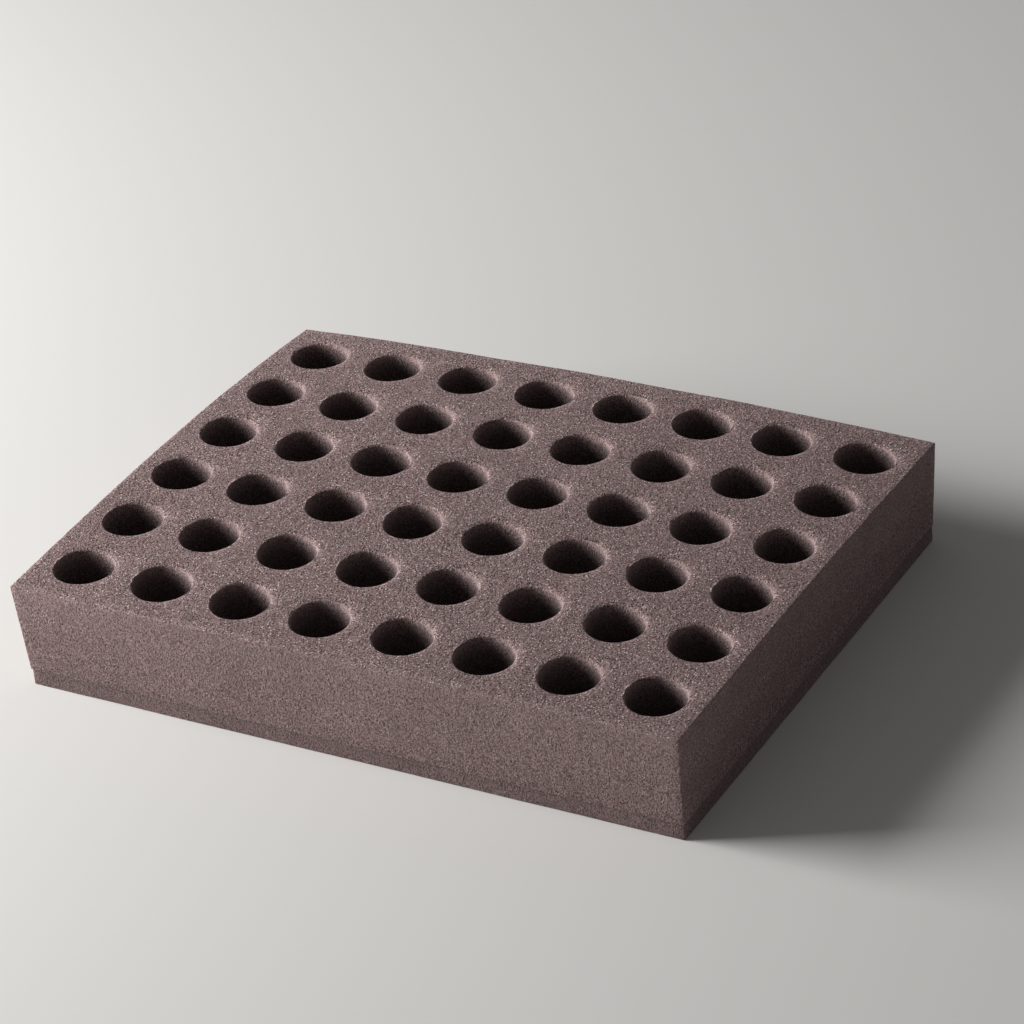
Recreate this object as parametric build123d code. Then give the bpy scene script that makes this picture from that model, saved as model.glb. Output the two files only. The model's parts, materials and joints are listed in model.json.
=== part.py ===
from build123d import *
import math
import os

# Foam pocket tray: a thick block of open-cell foam, punched right through with a grid of
# round pockets, and a thin foam sheet bonded under it as the pockets' floor.
# Millimetres, +Z up. The origin is the middle of the underside, +X runs along the long side.

# Pocket grid
column_count = 8
row_count = 6
column_pitch = 40.0
row_pitch = 40.0
pocket_diameter = 26.0
rim_spread = 0.8            # the punched rim opens out by this much past the pocket wall
rim_depth = 1.0             # and starts this far below the top face

# Punched block
end_margin = 23.0           # last pocket centre to the block's end, at the top face
side_margin = 25.0          # last pocket centre to the block's long side, at the top face
block_thickness = 47.0
wall_lean = 3.0             # degrees: the cut walls draw in towards the underside
corner_radius = 1.2         # knife-cut corners, only a little soft
top_edge_radius = 1.2
seam_edge = 0.6             # soft edge along the block's underside, where the sheet is bonded

# Base sheet
base_thickness = 8.0
base_set_back = 0.7         # the sheet stops this far inside the block's underside
base_corner_radius = 1.2
base_edge = 0.6

# Cutters run past the faces they cut by this much
overcut = 2.0

block_length = (column_count - 1) * column_pitch + 2 * end_margin
block_width = (row_count - 1) * row_pitch + 2 * side_margin
draw_in = block_thickness * math.tan(math.radians(wall_lean))
base_length = block_length - 2 * (draw_in + base_set_back)
base_width = block_width - 2 * (draw_in + base_set_back)


def upright_edges(solid):
    return [edge for edge in solid.edges() if abs(edge.tangent_at(0.5).Z) > 0.5]


def wall_faces(solid):
    return [face for face in solid.faces() if abs(face.normal_at().Z) < 0.5]


def outer_rim(face):
    return face.outer_wire().edges()


def pocket_cutter():
    # Half section of one pocket, turned about its axis: straight wall, then the opened-out rim.
    wall = pocket_diameter / 2
    lip = wall + rim_spread
    section = Polyline(
        (0, -overcut),
        (wall, -overcut),
        (wall, block_thickness - rim_depth),
        (lip, block_thickness),
        (lip, block_thickness + overcut),
        (0, block_thickness + overcut),
        close=True,
    )
    return revolve(Plane.XZ * make_face(section), Axis.Z)


def make_pocket_block():
    # The top face keeps its size while the walls are leaned in below it.
    block = extrude(Rectangle(block_length, block_width), block_thickness)
    block = draft(wall_faces(block), Plane.XY.offset(block_thickness), -wall_lean)
    block = fillet(upright_edges(block), corner_radius)
    block = fillet(outer_rim(block.faces().sort_by(Axis.Z)[-1]), top_edge_radius)
    block = chamfer(outer_rim(block.faces().sort_by(Axis.Z)[0]), seam_edge)
    cutter = pocket_cutter()
    places = GridLocations(column_pitch, row_pitch, column_count, row_count)
    block -= [place * cutter for place in places]
    return Pos(0, 0, base_thickness) * block


def make_base_sheet():
    sheet = extrude(Rectangle(base_length, base_width), base_thickness)
    sheet = fillet(upright_edges(sheet), base_corner_radius)
    for face in (sheet.faces().sort_by(Axis.Z)[0], sheet.faces().sort_by(Axis.Z)[-1]):
        sheet = chamfer(outer_rim(face), base_edge)
    return sheet


os.makedirs("parts", exist_ok=True)
nodes = {
    "pocket_block": make_pocket_block(),
    "base_sheet": make_base_sheet(),
}
for name, shape in nodes.items():
    export_step(shape, f"parts/{name}.step")
    size = shape.bounding_box().size
    print(f"{name}: {size.X:.1f} x {size.Y:.1f} x {size.Z:.1f} mm, {shape.volume / 1000:.1f} cm3")
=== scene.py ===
import json
import math
import random

import bmesh
import bpy
from mathutils import Matrix, Vector, noise


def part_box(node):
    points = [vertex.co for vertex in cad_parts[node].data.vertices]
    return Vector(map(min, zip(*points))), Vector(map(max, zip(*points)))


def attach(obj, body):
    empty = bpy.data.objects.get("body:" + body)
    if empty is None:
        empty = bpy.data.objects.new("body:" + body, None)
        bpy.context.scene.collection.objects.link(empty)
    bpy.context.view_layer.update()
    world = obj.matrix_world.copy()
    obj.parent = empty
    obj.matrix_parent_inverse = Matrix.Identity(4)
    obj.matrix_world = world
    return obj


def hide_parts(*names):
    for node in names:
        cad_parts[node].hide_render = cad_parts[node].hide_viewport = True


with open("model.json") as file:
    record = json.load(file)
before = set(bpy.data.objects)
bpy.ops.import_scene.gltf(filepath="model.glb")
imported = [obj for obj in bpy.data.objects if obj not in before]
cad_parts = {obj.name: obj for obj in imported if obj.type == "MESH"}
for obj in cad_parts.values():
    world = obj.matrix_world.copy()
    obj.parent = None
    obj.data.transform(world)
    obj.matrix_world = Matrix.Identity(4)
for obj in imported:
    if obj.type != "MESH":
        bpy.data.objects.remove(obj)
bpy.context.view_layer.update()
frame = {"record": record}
mm = 0.001
slack = mm / 10                # places closer than this count as the same
sharpTurn = 0.8                # radians between two faces that meet in a sharp edge
uprightShare = 0.6             # an edge that spans this share of the height is upright
pocketMounts = [mount for mount in frame["record"]["mounts"] if mount["kind"] == "bore"]
blockLow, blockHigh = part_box("pocket_block")
baseLow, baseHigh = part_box("base_sheet")
print("frame loaded,", len(pocketMounts), "pockets")


class Wire:    # one shader socket; sums on it add Math nodes
    def __init__(self, tree, socket):
        self.tree = tree
        self.socket = socket

    def add(self, kind, settings=None, sockets=None, out=None):
        node = self.tree.nodes.new(kind)
        for key, value in (settings or {}).items():
            setattr(node, key, value)
        inputs = [s for s in node.inputs if s.enabled]
        names = [s.name for s in inputs]
        for key, value in (sockets or {}).items():
            target = inputs[key if isinstance(key, int) else names.index(key)]
            if isinstance(value, Wire):
                self.tree.links.new(value.socket, target)
            else:
                target.default_value = value
        ready = [s for s in node.outputs if s.enabled]
        return Wire(self.tree, next((s for s in ready if s.name == out), ready[0]))

    def other(self, out):    # another output of the same node
        return Wire(self.tree, self.socket.node.outputs[out])

    def math(self, operation, first, second):
        return self.add("ShaderNodeMath", {"operation": operation}, {0: first, 1: second})

    def __add__(self, more):
        return self.math("ADD", self, more)

    def __radd__(self, more):
        return self.math("ADD", more, self)

    def __sub__(self, less):
        return self.math("SUBTRACT", self, less)

    def __rsub__(self, whole):
        return self.math("SUBTRACT", whole, self)

    def __mul__(self, times):
        return self.math("MULTIPLY", self, times)

    def __rmul__(self, times):
        return self.math("MULTIPLY", times, self)

    def ease(self, start, end, low=0.0, high=1.0):    # smooth step from low to high
        return self.add("ShaderNodeMapRange", {"interpolation_type": "SMOOTHSTEP"},
                        {"Value": self, "From Min": start, "From Max": end, "To Min": low, "To Max": high})

    def blend(self, fromColour, toColour):    # this socket is the share of toColour
        return self.add("ShaderNodeMix", {"data_type": "RGBA"},
                        {"Factor": self, "A": fromColour, "B": toColour})

    def tinted(self, share):    # a colour made lighter or darker
        return self.add("ShaderNodeVectorMath", {"operation": "SCALE"}, {0: self, "Scale": share})

    def stretched(self, factors):
        return self.add("ShaderNodeVectorMath", {"operation": "MULTIPLY"}, {0: self, 1: factors})

    def cells(self, size):    # distance from the middle of the nearest cell
        return self.add("ShaderNodeTexVoronoi", {}, {"Vector": self, "Scale": 1 / size}, "Distance")

    def mottle(self, size, detail=2.0):
        return self.add("ShaderNodeTexNoise", {}, {"Vector": self, "Scale": 1 / size, "Detail": detail})


blockFoam = {
    "strut": (0.274, 0.189, 0.183, 1),      # cut cell walls
    "poreShade": (0.080, 0.055, 0.053, 1),       # painted shade in the hollows between them
    "glint": (0.860, 0.735, 0.715, 1),      # painted glint: cell skins that catch the light
    "wornAndLit": (0.320, 0.232, 0.225, 1),       # rubbed rims and edges, lighter also as a painted highlight of light scattered there
    "fuzz": (0.680, 0.500, 0.500, 1),       # loose cell ends along the cut faces
    "fuzzShare": 0.15,
    "fuzzRough": 0.5,
    "cellSize": 1.0 * mm,
    "skinSpan": (0.46, 0.14),               # a skin shines more and more from here to the cell's middle
    "glintShare": 0.54,                     # share of the cells with a skin that shines at all
    "sideGlint": 0.40,                      # how much of that painted glint is left on upright faces
    "pitSize": 1.1 * mm,
    "pitSpan": (0.42, 0.14),
    "sidePitShade": 0.38,                        # painted shade in a pit on upright faces
    "topPitShade": 0.86,                         # and on the level top, where it is painted deeper
    "upwardSpan": (0.3, 0.9),               # from upright faces to level ones
    "grainSize": 0.75 * mm,
    "strutSpan": (0.30, 0.68),              # from the painted shade of the pores to struts
    "wearLightSpan": (0.35, 0.65, 0.5, 1.0),      # wear and painted edge highlight take the struts first
    "wearLightShare": 0.5,
    "clumpSize": 3.2 * mm,
    "cloudSize": 38 * mm,
    "cloudDetail": 3.0,
    "streakSize": 6 * mm,
    "streakDraw": (1, 1, 0.22),             # faint upright streaks of the saw
    "tone": 0.70,                           # plain tone, and what the patches add to it
    "cloudTone": 0.22,
    "clumpTone": 0.20,
    "streakTone": 0.18,
    "relief": 1.1 * mm,                     # height of the cells, shared out below
    "grainRise": 0.45,
    "skinRise": 0.40,
    "clumpRise": 0.25,
    "pitDrop": 0.6,
    "pocketShade": 0.38,                    # painted shade on the walls deep in a pocket
    "rough": 0.94,
    "skinGloss": 0.40,                      # a skin is smoother by this much
    "shine": 0.12,
    "scatter": 0.5,                         # share of the light that goes into the foam
    "scatterDepth": 2.0 * mm,
    "scatterTint": (1.0, 0.8, 0.75),
}
# the base sheet is coloured darker than the block, with fewer and dimmer glints
baseFoam = dict(blockFoam, strut=(0.137, 0.094, 0.091, 1), poreShade=(0.040, 0.028, 0.027, 1),
                glint=(0.620, 0.515, 0.505, 1), glintShare=0.36)


def makeFoam(name, look):
    material = bpy.data.materials.new(name)
    material.use_nodes = True
    tree = material.node_tree
    shader = tree.nodes["Principled BSDF"]
    place = Wire(tree, None).add("ShaderNodeTexCoord", out="Object")

    cells = place.cells(look["cellSize"])
    # each cell draws its own lot, which says how much its skin shines in the painted glints
    lots = cells.add("ShaderNodeSeparateColor", {}, {"Color": cells.other("Color")}, "Red")
    glint = cells.ease(*look["skinSpan"]) * lots.ease(1 - look["glintShare"], 1.0)
    pit = place.cells(look["pitSize"]).ease(*look["pitSpan"])
    grain = place.mottle(look["grainSize"])
    clump = place.mottle(look["clumpSize"])
    cloud = place.mottle(look["cloudSize"], look["cloudDetail"])
    streak = place.stretched(look["streakDraw"]).mottle(look["streakSize"])
    wornAndLit = place.add("ShaderNodeAttribute", {"attribute_name": "edgeWearAndLight"}, {}, "Fac")
    deep = place.add("ShaderNodeAttribute", {"attribute_name": "pocketDepth"}, {}, "Fac")
    facing = place.add("ShaderNodeNewGeometry", out="Normal")
    upward = facing.add("ShaderNodeSeparateXYZ", {}, {"Vector": facing}, "Z").ease(*look["upwardSpan"])

    colour = grain.ease(*look["strutSpan"]).blend(look["poreShade"], look["strut"])
    # wear and a painted edge highlight lighten the rims and edges
    rubbedAndLit = wornAndLit * look["wearLightShare"] * grain.ease(*look["wearLightSpan"])
    colour = rubbedAndLit.blend(colour, look["wornAndLit"])
    sparkle = look["sideGlint"] + (1 - look["sideGlint"]) * upward    # painted glints, strongest on the level top
    colour = (glint * sparkle).blend(colour, look["glint"])
    tone = (look["tone"] + look["cloudTone"] * cloud + look["clumpTone"] * clump
            + look["streakTone"] * streak)
    # painted shade in the pits, darker on the level top, and deep in the pockets
    pitShade = look["sidePitShade"] + (look["topPitShade"] - look["sidePitShade"]) * upward
    colour = colour.tinted(tone * (1 - pitShade * pit) * (1 - (1 - look["pocketShade"]) * deep))
    height = (look["grainRise"] * grain + look["skinRise"] * glint + look["clumpRise"] * clump
              - look["pitDrop"] * pit)
    bump = place.add("ShaderNodeBump", {}, {"Strength": 1.0, "Distance": look["relief"], "Height": height})

    tree.links.new(colour.socket, shader.inputs["Base Color"])
    tree.links.new((look["rough"] - look["skinGloss"] * glint).socket, shader.inputs["Roughness"])
    tree.links.new(bump.socket, shader.inputs["Normal"])
    shader.inputs["Subsurface Weight"].default_value = look["scatter"]
    shader.inputs["Subsurface Radius"].default_value = look["scatterTint"]
    shader.inputs["Subsurface Scale"].default_value = look["scatterDepth"]
    shader.inputs["Specular IOR Level"].default_value = look["shine"]
    shader.inputs["Sheen Weight"].default_value = look["fuzzShare"]
    shader.inputs["Sheen Roughness"].default_value = look["fuzzRough"]
    shader.inputs["Sheen Tint"].default_value = look["fuzz"]
    return material


def addPiece(mesh, name, material):
    data = bpy.data.meshes.new(name)
    mesh.to_mesh(data)
    mesh.free()
    for polygon in data.polygons:
        polygon.use_smooth = True
    data.materials.append(material)
    piece = bpy.data.objects.new(name, data)
    bpy.context.scene.collection.objects.link(piece)
    print(name, sum(len(p.vertices) - 2 for p in data.polygons), "triangles")
    return piece


def wave(point, size):
    return noise.noise(point / size)


def pinned(value):    # kept between 0 and 1
    return min(max(value, 0), 1)


def isSharp(edge):
    return len(edge.link_faces) == 2 and edge.calc_face_angle() > sharpTurn


def newVerts(result):
    return [g for g in result["geom"] if isinstance(g, bmesh.types.BMVert)]


def drawDown(mesh, drop):    # makes a level sheet a slab
    lower = bmesh.ops.extrude_face_region(mesh, geom=mesh.faces[:], use_keep_orig=True)
    bmesh.ops.translate(mesh, vec=(0, 0, -drop), verts=newVerts(lower))
    bmesh.ops.recalc_face_normals(mesh, faces=mesh.faces)


def roundOff(mesh, edges, offset, segments):
    rounded = bmesh.ops.bevel(mesh, geom=edges, affect="EDGES", offset=offset, segments=segments,
                              profile=0.5, material=-1)
    return rounded["verts"]


def ringWalls(mesh, height, cuts):    # level rings round the upright walls
    upright = [e for e in mesh.edges if abs(e.verts[0].co.z - e.verts[1].co.z) > uprightShare * height]
    bmesh.ops.subdivide_edges(mesh, edges=upright, cuts=cuts, use_grid_fill=True)


punchedBlock = {
    "name": "pocketBlockFoam",
    "cellSteps": 16,               # mesh squares along one pocket's share of the top
    "spokeCuts": 4,                # and rings of them round each pocket
    "wallRings": 10,
    "rimRound": 0.95 * mm,         # the punched rim rolls over by this much
    "rimSegments": 5,
    "rimWearAndLight": 1.0,
    "rimSink": 1.2 * mm,           # and has sunk by this much on its back right side
    "sinkReach": 5.2 * mm,
    "sinkTurn": 40.0,              # degrees from the long side
    "mouthFlare": 1.5 * mm,        # the mouth is pulled wider on its back left side
    "flareDepth": 6.0 * mm,
    "flareTurn": 125.0,
    "flareFocus": 4,               # a higher number keeps the pull to that side
    "wallBand": 0.2 * mm,          # what lies this close to a pocket's wall is part of it
    "shadeStart": 1.0 * mm,        # painted shade on the walls starts here and deepens down
    "shadeSpan": 6.0 * mm,
    "edgeRound": 0.5 * mm,
    "edgeSegments": 3,
    "edgeWearAndLight": 0.8,
    "seamRound": 0.3 * mm,
    "seamSegments": 2,
    "seamBand": 2.0 * mm,          # the seam's edge lies this close to the sides
    "wallLean": 2.5,               # degrees
    "leanStart": 1.0 * mm,         # the lean starts this far outside the last pocket's wall
    "shrink": 0.2 * mm,            # the cut faces lie this far inside the nominal size
    "settle": 0.45 * mm,           # the whole top lies this far under the nominal height
    "crownAcross": 2.24 * mm,      # how much lower the long edges lie than the middle
    "crownAlong": 0.58 * mm,
    "cornerSag": 5.0 * mm,         # and how much more the back left corner has slumped
    "cornerFocus": 3,
    "rightSag": 1.7 * mm,          # the right end has sunk too, least at its front corner
    "rightFocus": 6,
    "swell": 0.28 * mm,            # slow waves of the faces
    "swellSize": 34 * mm,
    "ripple": 0.10 * mm,
    "rippleSize": 7 * mm,
    "seamCalm": 8,                 # the waves grow from nothing over the lowest eighth
    "punchDrift": 0.35 * mm,       # how far a pocket's centre is off the grid
    "punchOval": 0.30 * mm,
    "leastOval": 0.3,              # share of it that every pocket has
    "driftFade": 0.3,              # share of the radius over which both die away
    "seed": 48,
}


def makePocketBlock(spec, material):
    centres = [Vector((m["pos_m"][0], m["pos_m"][1], blockHigh.z)) for m in pocketMounts]
    radius = pocketMounts[0]["dims"]["r_mm"] * mm
    columns = len({round(c.x, 5) for c in centres})
    rows = len({round(c.y, 5) for c in centres})
    pitchX = (max(c.x for c in centres) - min(c.x for c in centres)) / (columns - 1)
    pitchY = (max(c.y for c in centres) - min(c.y for c in centres)) / (rows - 1)
    gridX = columns * pitchX / 2
    gridY = rows * pitchY / 2
    tall = blockHigh.z - blockLow.z
    steps = spec["cellSteps"]
    mesh = bmesh.new()

    # top sheet: one square of the grid for each pocket, then the margin round them
    bmesh.ops.create_grid(mesh, x_segments=columns * steps, y_segments=rows * steps, size=1.0)
    bmesh.ops.scale(mesh, vec=(gridX, gridY, 1), verts=mesh.verts)
    bmesh.ops.translate(mesh, vec=(0, 0, blockHigh.z), verts=mesh.verts)
    margin = bmesh.ops.extrude_edge_only(mesh, edges=[e for e in mesh.edges if e.is_boundary])
    for vert in newVerts(margin):
        if abs(vert.co.x) > gridX - slack:
            vert.co.x = math.copysign(blockHigh.x, vert.co.x)
        if abs(vert.co.y) > gridY - slack:
            vert.co.y = math.copysign(blockHigh.y, vert.co.y)

    def isWithin(place, centre, share):    # nearer to a pocket's centre than this share of the spacing
        return abs(place.x - centre.x) < share * pitchX and abs(place.y - centre.y) < share * pitchY

    # punch: a square opening in each cell, drawn in to the pocket's circle
    reach = 0.5 - 1 / steps
    spokes = []
    for centre in centres:
        gone = [f for f in mesh.faces if isWithin(f.calc_center_median(), centre, reach)]
        bmesh.ops.delete(mesh, geom=gone, context="FACES")
        square = [e for e in mesh.edges if e.is_boundary
                  and isWithin((e.verts[0].co + e.verts[1].co) / 2, centre, 0.5)]
        circle = newVerts(bmesh.ops.extrude_edge_only(mesh, edges=square))
        for vert in circle:
            away = vert.co - centre
            if abs(away.x) >= abs(away.y):
                turn = math.pi / 4 * away.y / away.x + (math.pi if away.x < 0 else 0)
            else:
                turn = math.pi / 2 - math.pi / 4 * away.x / away.y + (math.pi if away.y < 0 else 0)
            vert.co = centre + radius * Vector((math.cos(turn), math.sin(turn), 0))
            spokes += [e for e in vert.link_edges if e.other_vert(vert) not in circle]
    bmesh.ops.subdivide_edges(mesh, edges=spokes, cuts=spec["spokeCuts"], use_grid_fill=True)
    print("top punched,", len(mesh.faces), "faces")

    wearAndLight = mesh.verts.layers.float.new("edgeWearAndLight")
    depth = mesh.verts.layers.float.new("pocketDepth")
    drawDown(mesh, tall)

    def pastSide(vert):    # how far it lies outside the block's sides
        return max(abs(vert.co.x) - blockHigh.x, abs(vert.co.y) - blockHigh.y)

    def isOuter(edge):
        return all(pastSide(v) > -slack for v in edge.verts)

    def atHeight(edge, height):
        return all(abs(v.co.z - height) < slack for v in edge.verts)

    # rolled rims, soft outer edges and the seam's edge, then rings down the walls
    rims = [e for e in mesh.edges if isSharp(e) and atHeight(e, blockHigh.z) and not isOuter(e)]
    # rims and outer edges get wear with a painted edge highlight
    for vert in roundOff(mesh, rims, spec["rimRound"], spec["rimSegments"]):
        vert[wearAndLight] = spec["rimWearAndLight"]
    edges = [e for e in mesh.edges if isSharp(e) and isOuter(e) and not atHeight(e, blockLow.z)]
    for vert in roundOff(mesh, edges, spec["edgeRound"], spec["edgeSegments"]):
        vert[wearAndLight] = spec["edgeWearAndLight"] if vert.co.z > blockLow.z + mm else 0.0
    seam = [e for e in mesh.edges if isSharp(e) and atHeight(e, blockLow.z)
            and pastSide(e.verts[0]) > -spec["seamBand"]]
    roundOff(mesh, seam, spec["seamRound"], spec["seamSegments"])
    ringWalls(mesh, tall, spec["wallRings"])
    print("block walled and rounded,", len(mesh.faces), "faces")

    # walls lean in, punched pockets wander a little and their rims give way
    lean = math.tan(math.radians(spec["wallLean"]))
    lastX = max(c.x for c in centres) + radius + spec["leanStart"]
    lastY = max(c.y for c in centres) + radius + spec["leanStart"]
    dice = random.Random(spec["seed"])
    drift = [Vector((dice.uniform(-1, 1), dice.uniform(-1, 1), 0)) * spec["punchDrift"] for c in centres]
    oval = [(dice.uniform(0, math.pi), dice.uniform(spec["leastOval"], 1) * spec["punchOval"])
            for c in centres]
    sinkTurn = math.radians(spec["sinkTurn"])
    flareTurn = math.radians(spec["flareTurn"])
    for vert in mesh.verts:
        column = min(max(round(vert.co.x / pitchX + columns / 2 - 0.5), 0), columns - 1)
        row = min(max(round(vert.co.y / pitchY + rows / 2 - 0.5), 0), rows - 1)
        here = row * columns + column
        away = Vector((vert.co.x - centres[here].x, vert.co.y - centres[here].y, 0))
        near = 1 - pinned((away.length - radius) / (spec["driftFade"] * radius))
        below = blockHigh.z - vert.co.z
        if away.length < radius + spec["wallBand"]:
            # mask for the painted shade deep in the pockets
            vert[depth] = pinned((below - spec["shadeStart"]) / spec["shadeSpan"])
        turn, amount = oval[here]
        towards = math.atan2(away.y, away.x)
        bulge = amount * math.cos(2 * (towards - turn))
        flare = max(math.cos(towards - flareTurn), 0) ** spec["flareFocus"]
        bulge += spec["mouthFlare"] * (flare * math.exp(-below / spec["flareDepth"]))
        vert.co += near * (drift[here] + away.normalized() * bulge)
        if below < 2 * spec["rimRound"]:
            close = 1 - pinned((away.length - radius) / spec["sinkReach"])
            side = (1 + math.cos(towards - sinkTurn)) / 2
            vert.co.z -= spec["rimSink"] * side * close ** 2
        pull = pinned((abs(vert.co.x) - lastX) / (blockHigh.x - lastX))
        vert.co.x -= math.copysign(pull * (below * lean + spec["shrink"]), vert.co.x)
        pull = pinned((abs(vert.co.y) - lastY) / (blockHigh.y - lastY))
        vert.co.y -= math.copysign(pull * (below * lean + spec["shrink"]), vert.co.y)

    # soft crown of the top, then slow waves and ripples of the cut faces
    mesh.normal_update()
    moves = []
    for vert in mesh.verts:
        share = (vert.co.z - blockLow.z) / tall
        along, across = vert.co.x / gridX, vert.co.y / gridY
        crown = spec["settle"] + spec["crownAlong"] * along ** 2 + spec["crownAcross"] * across ** 2
        crown += spec["cornerSag"] * ((1 - along) / 2 * (1 + across) / 2) ** spec["cornerFocus"]
        crown += spec["rightSag"] * ((1 + along) / 2) ** spec["rightFocus"] * (1 - ((1 - across) / 2) ** 2)
        rough = spec["swell"] * wave(vert.co, spec["swellSize"])
        rough += spec["ripple"] * wave(vert.co, spec["rippleSize"])
        moves.append(Vector((0, 0, -crown * share)) + vert.normal * rough * min(share * spec["seamCalm"], 1))
    for vert, move in zip(mesh.verts, moves):
        vert.co += move
    return addPiece(mesh, spec["name"], material)


bondedSheet = {
    "name": "baseSheetFoam",
    "steps": 4 * mm,
    "wallRings": 4,
    "edgeRound": 0.35 * mm,
    "edgeSegments": 3,
    "edgeWearAndLight": 0.7,
    "sideBand": 1.0 * mm,          # what lies this close to a side moves with it
    "grow": 0.6 * mm,              # the soft sheet spreads this far under the block
    "edgeWaver": 0.16 * mm,        # the knife wandered by this much
    "waverSize": 26 * mm,
    "nickShare": 0.4,              # and left shorter nicks
    "nickSize": 6 * mm,
}


def makeBaseSheet(spec, material):
    mesh = bmesh.new()
    size = baseHigh - baseLow
    bmesh.ops.create_grid(mesh, x_segments=round(size.x / spec["steps"]),
                          y_segments=round(size.y / spec["steps"]), size=0.5)
    bmesh.ops.scale(mesh, vec=(size.x, size.y, 1), verts=mesh.verts)
    bmesh.ops.translate(mesh, vec=(0, 0, baseHigh.z), verts=mesh.verts)
    wearAndLight = mesh.verts.layers.float.new("edgeWearAndLight")
    drawDown(mesh, size.z)
    sharp = [e for e in mesh.edges if isSharp(e)]
    # the sheet's edges get wear with a painted edge highlight
    for vert in roundOff(mesh, sharp, spec["edgeRound"], spec["edgeSegments"]):
        vert[wearAndLight] = spec["edgeWearAndLight"]
    ringWalls(mesh, size.z, spec["wallRings"])
    for vert in mesh.verts:
        nick = spec["nickShare"] * wave(vert.co, spec["nickSize"])
        waver = spec["edgeWaver"] * (1 + wave(vert.co, spec["waverSize"]) + nick)
        if abs(vert.co.x) > size.x / 2 - spec["sideBand"]:
            vert.co.x += math.copysign(spec["grow"] - waver, vert.co.x)
        if abs(vert.co.y) > size.y / 2 - spec["sideBand"]:
            vert.co.y += math.copysign(spec["grow"] - waver, vert.co.y)
    return addPiece(mesh, spec["name"], material)


block = makePocketBlock(punchedBlock, makeFoam("blockFoam", blockFoam))
base = makeBaseSheet(bondedSheet, makeFoam("baseFoam", baseFoam))
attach(block, "root")
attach(base, "root")
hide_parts("pocket_block")
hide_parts("base_sheet")
print("foam pieces in place")

studio = {
    "floorSize": 8.0,              # metres
    "floorColour": (0.62, 0.61, 0.59, 1),
    "floorRough": 0.9,
    "floorShine": 0.1,
    "fill": 0.14,                  # strength of the world's light
    "keyPower": 62.0,              # watts
    "keySize": 0.88,
    "keyAway": 1.7,                # metres from the tray's middle
    "keyTurn": 20.0,               # degrees from the tray's left end towards its front
    "keyRise": 24.0,
}


def makeStudio(spec):
    mesh = bmesh.new()
    bmesh.ops.create_grid(mesh, x_segments=1, y_segments=1, size=spec["floorSize"] / 2)
    material = bpy.data.materials.new("studioFloor")
    material.use_nodes = True
    shader = material.node_tree.nodes["Principled BSDF"]
    shader.inputs["Base Color"].default_value = spec["floorColour"]
    shader.inputs["Roughness"].default_value = spec["floorRough"]
    shader.inputs["Specular IOR Level"].default_value = spec["floorShine"]
    addPiece(mesh, "studioFloor", material)

    world = bpy.data.worlds.new("studioWorld")
    bpy.context.scene.world = world
    world.use_nodes = True
    tree = world.node_tree
    light = tree.nodes["Background"]
    light.inputs["Color"].default_value = (1, 1, 1, 1)
    ray = Wire(tree, None).add("ShaderNodeLightPath", out="Is Camera Ray")
    seen = ray + ray.other("Is Glossy Ray") + ray.other("Is Transmission Ray")
    tree.links.new((seen * (1 - spec["fill"]) + spec["fill"]).socket, light.inputs["Strength"])

    turn = math.radians(spec["keyTurn"])
    rise = math.radians(spec["keyRise"])
    towards = Vector((-math.cos(turn) * math.cos(rise), -math.sin(turn) * math.cos(rise), math.sin(rise)))
    lamp = bpy.data.lights.new("keyLamp", "AREA")
    lamp.size = spec["keySize"]
    lamp.energy = spec["keyPower"]
    key = bpy.data.objects.new("keyLamp", lamp)
    bpy.context.scene.collection.objects.link(key)
    key.location = towards * spec["keyAway"]
    key.rotation_euler = (-towards).to_track_quat("-Z", "Y").to_euler()
    print("floor, world and lamp set")


view = {
    "eye": Vector((908.9, -1422.3, 1076.9)) * mm,
    "aim": Vector((16.6, 2.8, 53.7)) * mm,
    "roll": -6.24,                 # degrees
    "lens": 159.1,
    "sensor": 36.0,
}


def makeCamera(spec):
    lens = bpy.data.cameras.new("photoView")
    lens.lens = spec["lens"]
    lens.sensor_width = spec["sensor"]
    camera = bpy.data.objects.new("photoView", lens)
    bpy.context.scene.collection.objects.link(camera)
    facing = (spec["aim"] - spec["eye"]).to_track_quat("-Z", "Y").to_matrix().to_4x4()
    roll = Matrix.Rotation(math.radians(spec["roll"]), 4, "Z")
    camera.matrix_world = Matrix.Translation(spec["eye"]) @ facing @ roll
    bpy.context.scene.camera = camera
    print("camera set")


makeStudio(studio)
makeCamera(view)
bpy.context.scene.view_settings.view_transform = "Standard"
